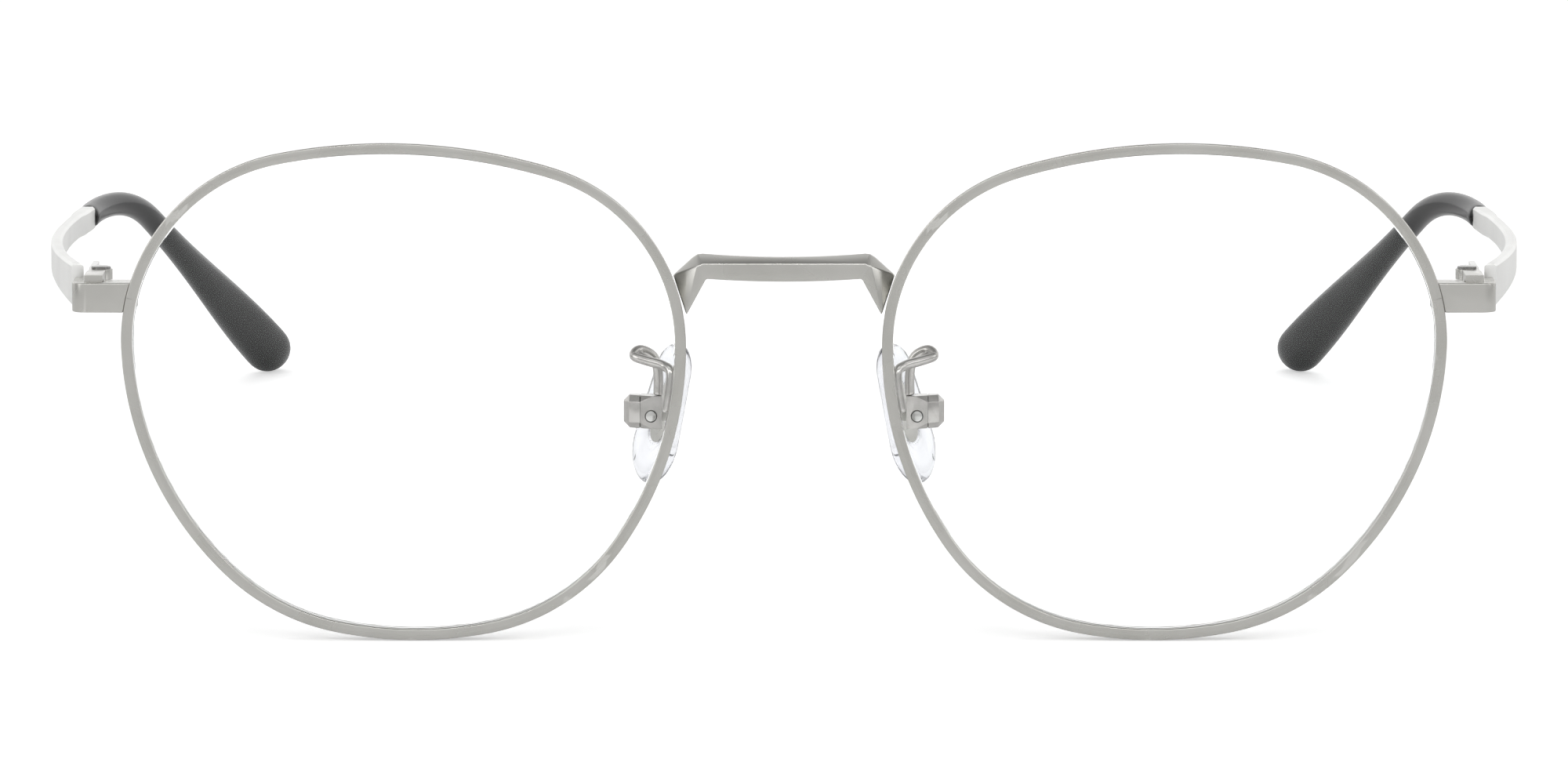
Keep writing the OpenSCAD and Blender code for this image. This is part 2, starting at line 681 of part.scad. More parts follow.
module nose_pad() {
    color("white", 0.5)
        pad_frame()
            skin(concat(
                [recess_ring(recess_floor), recess_ring(pad_back), pad_ring(pad_back, 0.86)],
                [for (a = [-60 : 15 : 60]) pad_ring(pad_t * 0.42 * sin(a) / sin(60) - 0.02, 0.89 + 0.11 * cos(a * 1.2))],
                [for (share = [0.8, 0.6, 0.4, 0.2]) pad_ring(pad_t / 2 - pad_crown * share * share, share)]));
}

arm_stations = 36;
FOOT_LOW = outline_at(348.5, -1.5 * groove_depth);
FOOT_HIGH = outline_at(355, -1.5 * groove_depth);
lens_clear = 0.12;
foot_y = max(rim_d + 0.87 * arm_r, groove_y + lens_t / 2 + lens_clear + arm_r);
ARM_TOP = [box_x + 0.7, box_y + 0.6, box_low + box_h];
ARM_POINTS = [
    [FOOT_LOW.x, foot_y, FOOT_LOW.y], [FOOT_HIGH.x, foot_y, FOOT_HIGH.y],
    ARM_TOP + [0.55, -2.8, 3.2], ARM_TOP + [-1.05, -2.1, 3.6], ARM_TOP + [-2.35, -1.3, 4],
    ARM_TOP + [-1.75, -0.4, 4.5], ARM_TOP + [-0.45, 0, 3.8], ARM_TOP + [0, 0, 2.2], ARM_TOP];
function spline(points, t) =
    let (n = len(points) - 1, s = min(t * n, n - 1e-6), i = floor(s), f = s - i,
        a = points[max(i - 1, 0)], b = points[i], c = points[i + 1], d = points[min(i + 2, n)])
    0.5 * (2 * b + (c - a) * f + (2 * a - 5 * b + 4 * c - d) * f * f + (3 * b - a - 3 * c + d) * f * f * f);
ARM_LINE = [for (i = [0 : arm_stations]) spline(ARM_POINTS, i / arm_stations)];
function arm_ring(i) =
    let (along = heading(ARM_LINE, i), side = norm_of(cross(along, [0.2, 1, 0.1])), up = cross(side, along))
    [for (p = oval(2 * arm_r, 2 * arm_r, 12)) ARM_LINE[i] + side * p.x + up * p.y];

module pad_arm() {
    color("silver")
        skin([for (i = [0 : arm_stations]) arm_ring(i)]);
}

module side_of(side) {
    if (side == "right_") right() children();
    else left() children();
}

bridge();
for (side = ["right_", "left_"]) {
    side_of(side) rim();
    side_of(side) lens();
    side_of(side) end_piece();
    side_of(side) upper_block();
    side_of(side) lower_block();
    side_of(side) block_screw();
    side_of(side) front_hinge();
    side_of(side) temple_hinge();
    side_of(side) hinge_screw();
    side_of(side) temple();
    side_of(side) temple_tip();
    side_of(side) pad_arm();
    side_of(side) pad_box();
    side_of(side) pad_screw();
    side_of(side) pad_core();
    side_of(side) nose_pad();
}
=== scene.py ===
import json
import math

import bmesh
import bpy
from mathutils import Matrix, Vector
from mathutils.geometry import convex_hull_2d


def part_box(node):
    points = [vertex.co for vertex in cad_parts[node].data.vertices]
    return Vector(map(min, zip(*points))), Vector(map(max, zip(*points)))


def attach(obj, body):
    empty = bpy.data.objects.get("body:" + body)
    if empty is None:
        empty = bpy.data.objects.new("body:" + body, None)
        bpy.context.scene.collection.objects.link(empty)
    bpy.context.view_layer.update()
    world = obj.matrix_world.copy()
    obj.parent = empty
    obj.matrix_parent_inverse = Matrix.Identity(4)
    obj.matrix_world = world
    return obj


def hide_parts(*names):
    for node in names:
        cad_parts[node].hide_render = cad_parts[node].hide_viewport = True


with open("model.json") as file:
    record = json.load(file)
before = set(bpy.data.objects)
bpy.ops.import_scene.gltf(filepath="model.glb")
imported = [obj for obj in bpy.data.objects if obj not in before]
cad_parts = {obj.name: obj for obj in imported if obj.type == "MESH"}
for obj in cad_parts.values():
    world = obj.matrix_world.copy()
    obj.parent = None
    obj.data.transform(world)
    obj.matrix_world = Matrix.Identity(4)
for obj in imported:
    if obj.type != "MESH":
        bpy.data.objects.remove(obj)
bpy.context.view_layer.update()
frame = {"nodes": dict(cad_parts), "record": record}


# ---- Rims ------------------------------------------------------------------------------
# Each rim is one length of nickel silver wire, drawn almost flat in front with a V groove
# inside, rolled to the shape of the lens and left with its two ends facing across the split
# at the hinge.  Both are silver plated and left satin.
MM = 0.001
RIM_WALL = 0.55 * MM            # metal outside the bottom of the groove
GROOVE_DEPTH = 0.5 * MM
GROOVE_MOUTH = 0.8 * MM
RIM_DEPTH = 1.8 * MM
RIDGE_HEIGHT = 0.04 * MM        # rise of the front ridge over its two edges, after polishing
WIRE_FLARE = math.tan(math.radians(4))
WIRE_CORNER = 0.13 * MM         # the drawing die leaves every corner this round
LENS_SEAT = 0.06 * MM           # play of the lens in its groove
RIM_SPLIT = 0.01                # share of one step left open at each end of the wire
NEAREST_POINTS = 0.2 * MM       # closer points of the lens's outline count as one

# The front leans back a little, because the tips rest on the table; the pad screws lie square
# to the front, so their axis gives the angle.
rock = next(j for j in frame["record"]["behaviour"]["joints"] if j["name"] == "right_pad_rock")
LEAN = math.atan2(-rock["axis"][2], rock["axis"][1])
UPRIGHT = Matrix.Rotation(LEAN, 4, "X")
AT_REST = UPRIGHT.inverted()


def linear(hex_colour):
    """An sRGB hex colour as the linear one that a shader reads."""
    parts = [int(hex_colour[i:i + 2], 16) / 255 for i in (1, 3, 5)]
    return tuple(c / 12.92 if c <= 0.04045 else ((c + 0.055) / 1.055) ** 2.4
                 for c in parts) + (1,)


def add(tree, kind, settings=None, **inputs):
    """Adds one node; each input is a value or the socket that feeds it."""
    made = tree.nodes.new(kind)
    for key, value in (settings or {}).items():
        setattr(made, key, value)
    for key, value in inputs.items():
        socket = made.inputs[int(key[1:])] if key[0] == "_" else made.inputs[key.replace("_", " ")]
        if isinstance(value, bpy.types.NodeSocket):
            tree.links.new(value, socket)
        else:
            socket.default_value = value
    return made


def start_material(name, **constants):
    """A new material with a Principled shader; constants are set on its own sockets."""
    made = bpy.data.materials.new(name)
    made.use_nodes = True
    tree = made.node_tree
    tree.nodes.clear()
    shader = add(tree, "ShaderNodeBsdfPrincipled", **constants)
    add(tree, "ShaderNodeOutputMaterial", Surface=shader.outputs[0])
    return made, tree, shader


def blend_stops(tree, factor, *stops):
    """A colour ramp over factor; each stop is (place, hex colour)."""
    ramp = add(tree, "ShaderNodeValToRGB", Fac=factor)
    while len(ramp.color_ramp.elements) < len(stops):
        ramp.color_ramp.elements.new(0.5)
    for element, (place, colour) in zip(ramp.color_ramp.elements, stops):
        element.position = place
        element.color = linear(colour)
    return ramp.outputs["Color"]


def spread(tree, factor, low, high):
    """Maps a 0 to 1 pattern to a range."""
    return add(tree, "ShaderNodeMapRange", Value=factor, To_Min=low, To_Max=high).outputs[0]


def noise(tree, where, size, detail, **settings):
    """A pattern from 0 to 1 whose patches are about the given size."""
    made = add(tree, "ShaderNodeTexNoise", Vector=where, Scale=1 / size, Detail=detail, **settings)
    return made.outputs["Fac"]


# Nickel silver with a satin silver plate, as drawn and tumbled wire has it: an even grey metal
# with a soft bloom, faint cloudy patches 6 mm wide, a fine grain of 0.2 mm (coarser than the
# real 0.05 mm, so that it shows) and lighter colour on sharp convex edges: partly wear where
# corners have rubbed, partly a painted highlight along the edges.
satin_plate, tree, shader = start_material("satin_plated_nickel_silver", Metallic=1.0,
                                           Roughness=0.27)
where = add(tree, "ShaderNodeTexCoord").outputs["Object"]
cloud = noise(tree, where, 6 * MM, 2.0)
grain = noise(tree, where, 0.2 * MM, 1.0)
bulge = add(tree, "ShaderNodeNewGeometry").outputs["Pointiness"]        # 0.5 where flat
# lighter colour where the surface bulges: rubbed wear and a painted edge highlight
wear_and_edge_highlight = add(tree, "ShaderNodeMapRange", Value=bulge, From_Min=0.54, From_Max=0.62)
plate = blend_stops(tree, cloud, (0.3, "#BAB9B4"), (0.7, "#C3C2BE"))
rubbed_and_highlit = add(tree, "ShaderNodeMix", {"data_type": "RGBA"}, Factor=wear_and_edge_highlight.outputs[0], _6=plate,
             _7=linear("#CFCECA"))
tree.links.new(rubbed_and_highlit.outputs[2], shader.inputs["Base Color"])
tree.links.new(spread(tree, cloud, 0.24, 0.31), shader.inputs["Roughness"])
bump = add(tree, "ShaderNodeBump", Strength=0.12, Distance=0.02 * MM, Height=grain)
tree.links.new(bump.outputs[0], shader.inputs["Normal"])


def plain_mesh(piece, name):
    """The piece with its modifiers applied, as a sound mesh at the origin."""
    shown = piece.evaluated_get(bpy.context.evaluated_depsgraph_get())
    mesh = bpy.data.meshes.new_from_object(shown)
    mesh.validate()
    mesh.name = name
    bpy.data.objects.remove(piece)
    made = bpy.data.objects.new(name, mesh)
    bpy.context.scene.collection.objects.link(made)
    return made


def shade(piece, material, sharp_degrees):
    """Gives the piece its finish, smooth except at edges sharper than the angle."""
    piece.data.materials.clear()
    piece.data.materials.append(material)
    piece.data.shade_smooth()
    piece.data.set_sharp_from_angle(angle=math.radians(sharp_degrees))


def lens_outline(side):
    """The lens's edge, as points of the upright front seen from the front, and its depth."""
    points = [UPRIGHT @ v.co for v in frame["nodes"][side + "_lens"].data.vertices]
    flat = [(p.x, p.z) for p in points]
    edge = convex_hull_2d(flat)
    depth = sum(points[i].y for i in edge) / len(edge)
    path = [Vector(flat[i]) for i in edge]
    path = [p for i, p in enumerate(path) if (p - path[i - 1]).length > NEAREST_POINTS]
    area = sum(a.x * b.y - b.x * a.y for a, b in zip(path, path[1:] + path[:1]))
    return (path if area > 0 else path[::-1]), depth


def rounded_path(points, steps):
    """A closed curve through the points, whose tangents allow for their uneven spacing."""
    count = len(points)
    slopes = []
    for i, here in enumerate(points):
        before, after = points[i - 1], points[(i + 1) % count]
        back, ahead = (here - before).length, (after - here).length
        slopes.append((here - before) / back - (after - before) / (back + ahead)
                      + (after - here) / ahead)
    made = []
    for i, start in enumerate(points):
        end = points[(i + 1) % count]
        span = (end - start).length
        for step in range(steps):
            t = step / steps
            made.append(start * (2 * t**3 - 3 * t**2 + 1) + end * (3 * t**2 - 2 * t**3)
                        + slopes[i] * span * (t**3 - 2 * t**2 + t)
                        + slopes[(i + 1) % count] * span * (t**3 - t**2))
    return made


def poly_curve(name, points, closed):
    """A curve object of straight lines between the points."""
    data = bpy.data.curves.new(name, "CURVE")
    data.dimensions = "3D"
    spline = data.splines.new("POLY")
    spline.points.add(len(points) - 1)
    for point, at in zip(spline.points, points):
        point.co = (*at, 1)
    spline.use_cyclic_u = closed
    made = bpy.data.objects.new(name, data)
    bpy.context.scene.collection.objects.link(made)
    return made


# The wire tree draws a section along a flat path and stands the result up at the rest lean.
wire_tree = bpy.data.node_groups.new("drawn_wire", "GeometryNodeTree")
for label, kind in (("Path", "NodeSocketGeometry"), ("Section", "NodeSocketObject"),
                    ("Corner radius", "NodeSocketFloat"), ("Stand up", "NodeSocketFloat"),
                    ("Finish", "NodeSocketMaterial")):
    wire_tree.interface.new_socket(label, in_out="INPUT", socket_type=kind)
wire_tree.interface.new_socket("Wire", in_out="OUTPUT", socket_type="NodeSocketGeometry")
given = add(wire_tree, "NodeGroupInput").outputs
section = add(wire_tree, "GeometryNodeObjectInfo", Object=given["Section"])
rounded = add(wire_tree, "GeometryNodeFilletCurve", {"mode": "POLY"},
              Curve=section.outputs["Geometry"], Radius=given["Corner radius"], Count=3,
              Limit_Radius=True)
level = add(wire_tree, "GeometryNodeSetCurveNormal", {"mode": "Z_UP"}, Curve=given["Path"])
swept = add(wire_tree, "GeometryNodeCurveToMesh", Curve=level.outputs[0],
            Profile_Curve=rounded.outputs[0], Fill_Caps=True)
turn = add(wire_tree, "ShaderNodeCombineXYZ", X=given["Stand up"])
stood = add(wire_tree, "GeometryNodeTransform", Geometry=swept.outputs[0], Rotation=turn.outputs[0])
whole = add(wire_tree, "GeometryNodeRealizeInstances", Geometry=stood.outputs[0])
coated = add(wire_tree, "GeometryNodeSetMaterial", Geometry=whole.outputs[0],
             Material=given["Finish"])
add(wire_tree, "NodeGroupOutput", _0=coated.outputs[0])


def grow(piece, tree, **values):
    """Runs a Geometry Nodes tree on the piece, with its inputs set by their identifiers."""
    modifier = piece.modifiers.new(tree.name, "NODES")
    modifier.node_group = tree
    names = {item.name: item.identifier for item in tree.interface.items_tree
             if item.in_out == "INPUT"}
    for label, value in values.items():
        modifier[names[label.replace("_", " ")]] = value
    return plain_mesh(piece, piece.name)


def flared(out, depth):
    """A point of the rim's section, which is a little wider in front than at the back."""
    return Vector((out - (depth - RIM_DEPTH / 2) * WIRE_FLARE, depth - RIM_DEPTH / 2, 0))


RIM_SECTION = [
    flared(RIM_WALL - (RIM_WALL + GROOVE_DEPTH) / 2, 0), flared(-GROOVE_DEPTH, RIDGE_HEIGHT),
    flared(-GROOVE_DEPTH, RIM_DEPTH / 2 - GROOVE_MOUTH / 2), flared(0, RIM_DEPTH / 2),
    flared(-GROOVE_DEPTH, RIM_DEPTH / 2 + GROOVE_MOUTH / 2), flared(-GROOVE_DEPTH, RIM_DEPTH),
    flared(RIM_WALL, RIM_DEPTH), flared(RIM_WALL, RIDGE_HEIGHT)]
section_curve = poly_curve("rim_section", RIM_SECTION, True)

STEPS_BETWEEN_POINTS = 3
for side in ("right", "left"):
    edge, groove_y = lens_outline(side)
    fine = rounded_path(edge, STEPS_BETWEEN_POINTS)
    middle = sum(fine, Vector((0, 0))) / len(fine)
    outward = 1 if middle.x > 0 else -1
    low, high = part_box(side + "_upper_block"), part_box(side + "_lower_block")
    split_z = (UPRIGHT @ (Vector(low[0]) + Vector(high[1])) / 2).z
    first = min((i for i, p in enumerate(fine) if (p.x - middle.x) * outward > 0),
                key=lambda i: abs(fine[i].y - split_z))
    around = fine[first:] + fine[:first]
    start, end = around[0].lerp(around[1], RIM_SPLIT), around[0].lerp(around[-1], RIM_SPLIT)
    around = [start] + around[1:] + [end]
    out = []
    for i, p in enumerate(around):
        ahead = around[min(i + 1, len(around) - 1)] - around[max(i - 1, 0)]
        normal = Vector((ahead.y, -ahead.x)).normalized()
        out.append((*(p + normal * LENS_SEAT), -groove_y))
    path = poly_curve(side + "_rim_wire", out, False)
    rim = grow(path, wire_tree, Section=section_curve, Corner_radius=WIRE_CORNER,
               Stand_up=math.radians(90) - LEAN, Finish=satin_plate)
    shade(rim, satin_plate, sharp_degrees=38)
    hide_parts(side + "_rim")
    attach(rim, "front")
bpy.data.objects.remove(section_curve)


# ---- Bridge ----------------------------------------------------------------------------
# The bridge is one stamped bar of the same metal with a sloping bevel along its top.  Its two
# legs run down against the rims, where they are brazed on.
BAR_CORNER = 0.16 * MM
SAME_POINT = 0.002 * MM
FLAT_WITHIN = 0.6               # degrees between triangles that are one flat face
ANY_ANGLE = 3.1                 # radians, so that every pair of triangles may join


def merged_copy(node, name):
    """A CAD node's mesh with its doubles merged and its stored normals dropped."""
    made = bmesh.new()
    made.from_mesh(frame["nodes"][node].data)
    bmesh.ops.remove_doubles(made, verts=made.verts, dist=SAME_POINT)
    mesh = bpy.data.meshes.new(name)
    made.to_mesh(mesh)
    made.free()
    for stored in [a for a in mesh.attributes if a.name == "custom_normal"]:
        mesh.attributes.remove(stored)      # the stored flat normals no longer fit
    piece = bpy.data.objects.new(name, mesh)
    bpy.context.scene.collection.objects.link(piece)
    return piece


def flatten(piece):
    """Joins the triangles of each flat face."""
    made = bmesh.new()
    made.from_mesh(piece.data)
    bmesh.ops.dissolve_limit(made, angle_limit=math.radians(FLAT_WITHIN), verts=made.verts,
                             edges=made.edges)
    made.to_mesh(piece.data)
    made.free()


def quads(piece):
    """Pairs the triangles of a skin into its rings of quads."""
    made = bmesh.new()
    made.from_mesh(piece.data)
    bmesh.ops.join_triangles(made, faces=made.faces, angle_face_threshold=ANY_ANGLE,
                             angle_shape_threshold=ANY_ANGLE)
    made.to_mesh(piece.data)
    made.free()


def ease_edges(piece, width, segments=3, degrees=28):
    """Rounds the edges that are sharper than the angle."""
    bevel = piece.modifiers.new("eased_edges", "BEVEL")
    bevel.width = width
    bevel.segments = segments
    bevel.limit_method = "ANGLE"
    bevel.angle_limit = math.radians(degrees)
    bevel.use_clamp_overlap = True


def machined(node, body, material, width, sharp=40):
    """A metal piece of the frame with its sharp edges eased."""
    piece = merged_copy(node, node + "_finished")
    flatten(piece)
    ease_edges(piece, width)
    piece = plain_mesh(piece, node + "_finished")
    shade(piece, material, sharp)
    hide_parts(node)
    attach(piece, body)
    return piece


machined("bridge", "front", satin_plate, BAR_CORNER)


# ---- End pieces and rim locks ----------------------------------------------------------
# Each end piece is a stamped strap, bent back round its corner and brazed to the rim.  Behind
# it, two small blocks clamp the split rim on the lens with one screw.
STRAP_CORNER = 0.12 * MM
BLOCK_CORNER = 0.1 * MM
for side in ("right", "left"):
    machined(side + "_end_piece", "front", satin_plate, STRAP_CORNER)
    machined(side + "_upper_block", "front", satin_plate, BLOCK_CORNER)
    machined(side + "_lower_block", "front", satin_plate, BLOCK_CORNER)


# ---- Hinges ----------------------------------------------------------------------------
# A plain three-barrel hinge: the front leaf is brazed in the end piece and has the upper and
# lower barrel, and the temple leaf between them is brazed to the temple.
LEAF_CORNER = 0.08 * MM

# Temples are stainless strip with a silver plate, rubbed lengthways, with hair lines 0.15 mm
# apart and about 12 mm long (the real ones are finer).  Their colour is lighter than the front's:
# painted light, for the brighter surroundings that the temples reflect.
HAIR_WIDTH = 0.15 * MM
HAIR_LENGTH = 12 * MM
strip_plate_painted_light, tree, shader = start_material("bright_plated_strip", Metallic=1.0, Roughness=0.4)
where = add(tree, "ShaderNodeTexCoord").outputs["Object"]
along = add(tree, "ShaderNodeMapping", Vector=where,
            Scale=(1 / HAIR_WIDTH, 1 / HAIR_LENGTH, 1 / HAIR_WIDTH))
hair = noise(tree, along.outputs[0], 1.0, 2.0)
cloud = noise(tree, where, 9 * MM, 2.0)
# a lighter copy of the front's plate colour: painted light
plate = blend_stops(tree, cloud, (0.3, "#E6E6E4"), (0.7, "#EEEEEC"))
tree.links.new(plate, shader.inputs["Base Color"])
tree.links.new(spread(tree, hair, 0.36, 0.48), shader.inputs["Roughness"])
bump = add(tree, "ShaderNodeBump", Strength=0.1, Distance=0.01 * MM, Height=hair)
tree.links.new(bump.outputs[0], shader.inputs["Normal"])

for side in ("right", "left"):
    machined(side + "_front_hinge", "front", satin_plate, LEAF_CORNER)
    machined(side + "_temple_hinge", side + "_temple", strip_plate_painted_light,
             LEAF_CORNER)


# ---- Screws ----------------------------------------------------------------------------
# Six slotted screws of turned stainless steel: one through each rim lock, each hinge and each
# pad box.  The heads are low domes with a sawn slot.
DOME_SHARE = 0.4                # of the head's height, over a straight edge
DOME_TOP = 0.72                 # of the head's radius
SHANK_MIDDLE = 0.4995           # of its length from the seat, so that it starts in the head
SLOT_MIDDLE = -1.05             # of the saw blade, in head heights from the seat
SLOT_SHARE = 0.6                # of the shank's radius
RING_PITCH = 0.12 * MM          # of the marks that turning leaves
WAVES_AT_SCALE_ONE = 3.2        # how many rings the wave texture puts in one unit
# the painted shade in the gap round a head's edge fades in between these shares of its radius
EDGE_SHADE_FROM, EDGE_SHADE_TO = 0.8, 0.88        # of the head's radius


def screw_tree():
    """Slotted screws at the given seats, head towards -Z, each from the same few solids."""
    made = bpy.data.node_groups.new("slotted_screws", "GeometryNodeTree")
    for label, kind in (("Seats", "NodeSocketGeometry"), ("Head radius", "NodeSocketFloat"),
                        ("Head height", "NodeSocketFloat"), ("Shank radius", "NodeSocketFloat"),
                        ("Shank length", "NodeSocketFloat"), ("Slot width", "NodeSocketFloat"),
                        ("Turn", "NodeSocketVector"), ("Finish", "NodeSocketMaterial")):
        made.interface.new_socket(label, in_out="INPUT", socket_type=kind)
    made.interface.new_socket("Screws", in_out="OUTPUT", socket_type="NodeSocketGeometry")
    value = add(made, "NodeGroupInput").outputs

    def times(a, b):
        return add(made, "ShaderNodeMath", {"operation": "MULTIPLY"}, _0=a, _1=b).outputs[0]

    def lift(z):
        return add(made, "ShaderNodeCombineXYZ", Z=z).outputs[0]

    # head: a short cylinder below z = 0 and a flatter dome under it; shank: up from z = 0
    edge_share = 1 - DOME_SHARE
    head = add(made, "GeometryNodeMeshCylinder", Vertices=40, Radius=value["Head radius"],
               Depth=times(value["Head height"], edge_share))
    head_at = add(made, "GeometryNodeTransform", Geometry=head.outputs["Mesh"],
                  Translation=lift(times(value["Head height"], -edge_share / 2)))
    dome = add(made, "GeometryNodeMeshCone", Vertices=40,
               Radius_Top=times(value["Head radius"], DOME_TOP),
               Radius_Bottom=value["Head radius"], Depth=times(value["Head height"], DOME_SHARE))
    dome_down = add(made, "GeometryNodeTransform", Geometry=dome.outputs["Mesh"],
                    Translation=lift(times(value["Head height"], -edge_share)),
                    Rotation=(math.pi, 0, 0))
    shank = add(made, "GeometryNodeMeshCylinder", Vertices=32, Radius=value["Shank radius"],
                Depth=value["Shank length"])
    shank_at = add(made, "GeometryNodeTransform", Geometry=shank.outputs["Mesh"],
                   Translation=lift(times(value["Shank length"], SHANK_MIDDLE)))
    saw = add(made, "ShaderNodeCombineXYZ", X=times(value["Head radius"], 3.0),
              Y=value["Slot width"], Z=value["Head height"])
    blade = add(made, "GeometryNodeMeshCube", Size=saw.outputs[0])
    blade_at = add(made, "GeometryNodeTransform", Geometry=blade.outputs["Mesh"],
                   Translation=lift(times(value["Head height"], SLOT_MIDDLE)))
    body = add(made, "GeometryNodeMeshBoolean", {"operation": "UNION"})
    for part in (head_at, dome_down, shank_at):
        made.links.new(part.outputs[0], body.inputs[1])
    cut = add(made, "GeometryNodeMeshBoolean", {"operation": "DIFFERENCE"}, _0=body.outputs[0],
              _1=blade_at.outputs[0])
    placed = add(made, "GeometryNodeInstanceOnPoints", Points=value["Seats"],
                 Instance=cut.outputs[0], Rotation=value["Turn"])
    whole = add(made, "GeometryNodeRealizeInstances", Geometry=placed.outputs[0])
    coated = add(made, "GeometryNodeSetMaterial", Geometry=whole.outputs[0],
                 Material=value["Finish"])
    add(made, "NodeGroupOutput", _0=coated.outputs[0])
    return made


def turned_steel(name, seat, spin, head_r, edge):
    """Turned stainless steel: bright rings round the screw's own axis, and painted shade in the gap
    round the head's edge, darkest on the sunk heads of the pad screws."""
    made, tree, shader = start_material(name, Metallic=1.0, Roughness=0.22)
    place = add(tree, "ShaderNodeTexCoord").outputs["Object"]
    where = add(tree, "ShaderNodeSeparateXYZ", Vector=place)
    either_side = add(tree, "ShaderNodeMath", {"operation": "ABSOLUTE"}, _0=where.outputs["X"])
    folded = add(tree, "ShaderNodeCombineXYZ", X=either_side.outputs[0], Y=where.outputs["Y"],
                 Z=where.outputs["Z"])
    centred = add(tree, "ShaderNodeMapping", {"vector_type": "TEXTURE"}, Vector=folded.outputs[0],
                  Location=(abs(seat.x), seat.y, seat.z), Rotation=spin)
    rings = add(tree, "ShaderNodeTexWave", {"wave_type": "RINGS", "rings_direction": "Z"},
                Vector=centred.outputs[0], Scale=1 / RING_PITCH / WAVES_AT_SCALE_ONE,
                Distortion=0.6).outputs["Fac"]
    across = add(tree, "ShaderNodeVectorMath", {"operation": "MULTIPLY"}, _0=centred.outputs[0],
                 _1=(1, 1, 0))
    from_axis = add(tree, "ShaderNodeVectorMath", {"operation": "LENGTH"}, _0=across.outputs[0])
    # painted shade in the gap round the head's edge, in the colour given as edge
    head_edge_shade = add(tree, "ShaderNodeMapRange", Value=from_axis.outputs["Value"],
                From_Min=EDGE_SHADE_FROM * head_r, From_Max=EDGE_SHADE_TO * head_r)
    steel = blend_stops(tree, rings, (0.2, "#B6B6B4"), (0.8, "#D2D2D0"))
    lined = add(tree, "ShaderNodeMix", {"data_type": "RGBA"}, Factor=head_edge_shade.outputs[0], _6=steel,
                _7=linear(edge))
    tree.links.new(lined.outputs[2], shader.inputs["Base Color"])
    tree.links.new(spread(tree, rings, 0.18, 0.3), shader.inputs["Roughness"])
    return made


slotted_screw = screw_tree()
# (node, head radius, head height, shank radius, direction of the shank in the upright front,
# colour of the painted shade in the gap round the head's edge)
SCREWS = (
    ("block_screw", 0.765 * MM, 0.35 * MM, 0.45 * MM, "up", "#8E8D8B"),
    ("hinge_screw", 0.935 * MM, 0.3 * MM, 0.5 * MM, "down", "#8E8D8B"),
    ("pad_screw", 0.6 * MM, 0.2 * MM, 0.4 * MM, "back", "#4A4846"))
SPIN = {"up": (-LEAN, 0, 0), "down": (math.pi - LEAN, 0, 0), "back": (-math.pi / 2 - LEAN, 0, 0)}
for kind, head_r, head_h, shank_r, way, edge in SCREWS:
    ahead = {"up": Vector((0, 0, 1)), "down": Vector((0, 0, -1)), "back": Vector((0, 1, 0))}[way]
    seats = []
    for side in ("right", "left"):
        points = [UPRIGHT @ v.co for v in frame["nodes"][side + "_" + kind].data.vertices]
        reach = [p.dot(ahead) for p in points]
        middle = (Vector(map(min, *points)) + Vector(map(max, *points))) / 2
        length = max(reach) - min(reach)
        start = middle + ahead * (min(reach) + head_h - middle.dot(ahead))
        seats.append(AT_REST @ start)
    mesh = bpy.data.meshes.new(kind + "s")
    mesh.from_pydata(seats, [], [])
    holder = bpy.data.objects.new(kind + "s", mesh)
    bpy.context.scene.collection.objects.link(holder)
    steel = turned_steel("turned_steel_" + kind, seats[1], SPIN[way], head_r, edge)
    screws = grow(holder, slotted_screw, Head_radius=head_r, Head_height=head_h,
                  Shank_radius=shank_r, Shank_length=length - head_h,
                  Slot_width=shank_r * SLOT_SHARE, Turn=SPIN[way], Finish=steel)
    shade(screws, steel, sharp_degrees=30)
    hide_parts("right_" + kind, "left_" + kind)
    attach(screws, "front")


# ---- Temples ---------------------------------------------------------------------------
# Each temple is one strip of spring steel, tall at the hinge and tapering to a square collar,
# past which its round core runs on inside the tip.
STRIP_CORNER = 0.16 * MM
for side in ("right", "left"):
    strip = merged_copy(side + "_temple", side + "_temple_strip")
    quads(strip)
    ease_edges(strip, STRIP_CORNER, segments=2, degrees=25)
    strip = plain_mesh(strip, side + "_temple_strip")
    shade(strip, strip_plate_painted_light, sharp_degrees=30)
    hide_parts(side + "_temple")
    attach(strip, side + "_temple")


# ---- Temple tips -----------------------------------------------------------------------
# The tips are black cellulose acetate, pushed warm over the core, bent down behind the ear and
# polished: deep black with a wet gloss, and a slow wave in the surface left by the buffing.
def softened(node, name, levels):
    """A piece of the frame with its skin subdivided, so that its bends run smoothly."""
    piece = merged_copy(node, name)
    quads(piece)
    smooth = piece.modifiers.new("smooth", "SUBSURF")
    smooth.levels = smooth.render_levels = levels
    return plain_mesh(piece, name)


acetate, tree, shader = start_material("polished_black_acetate", IOR=1.46, Roughness=0.2)
where = add(tree, "ShaderNodeTexCoord").outputs["Object"]
swirl = noise(tree, where, 5 * MM, 3.0, Distortion=0.8)
scuffs = noise(tree, where, 0.4 * MM, 2.0)
black = blend_stops(tree, swirl, (0.35, "#070708"), (0.7, "#101011"))
tree.links.new(black, shader.inputs["Base Color"])
tree.links.new(spread(tree, scuffs, 0.17, 0.27), shader.inputs["Roughness"])
bump = add(tree, "ShaderNodeBump", Strength=0.08, Distance=0.05 * MM, Height=swirl)
tree.links.new(bump.outputs[0], shader.inputs["Normal"])
for side in ("right", "left"):
    tip = softened(side + "_temple_tip", side + "_tip", levels=2)
    shade(tip, acetate, sharp_degrees=50)
    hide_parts(side + "_temple_tip")
    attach(tip, side + "_temple")


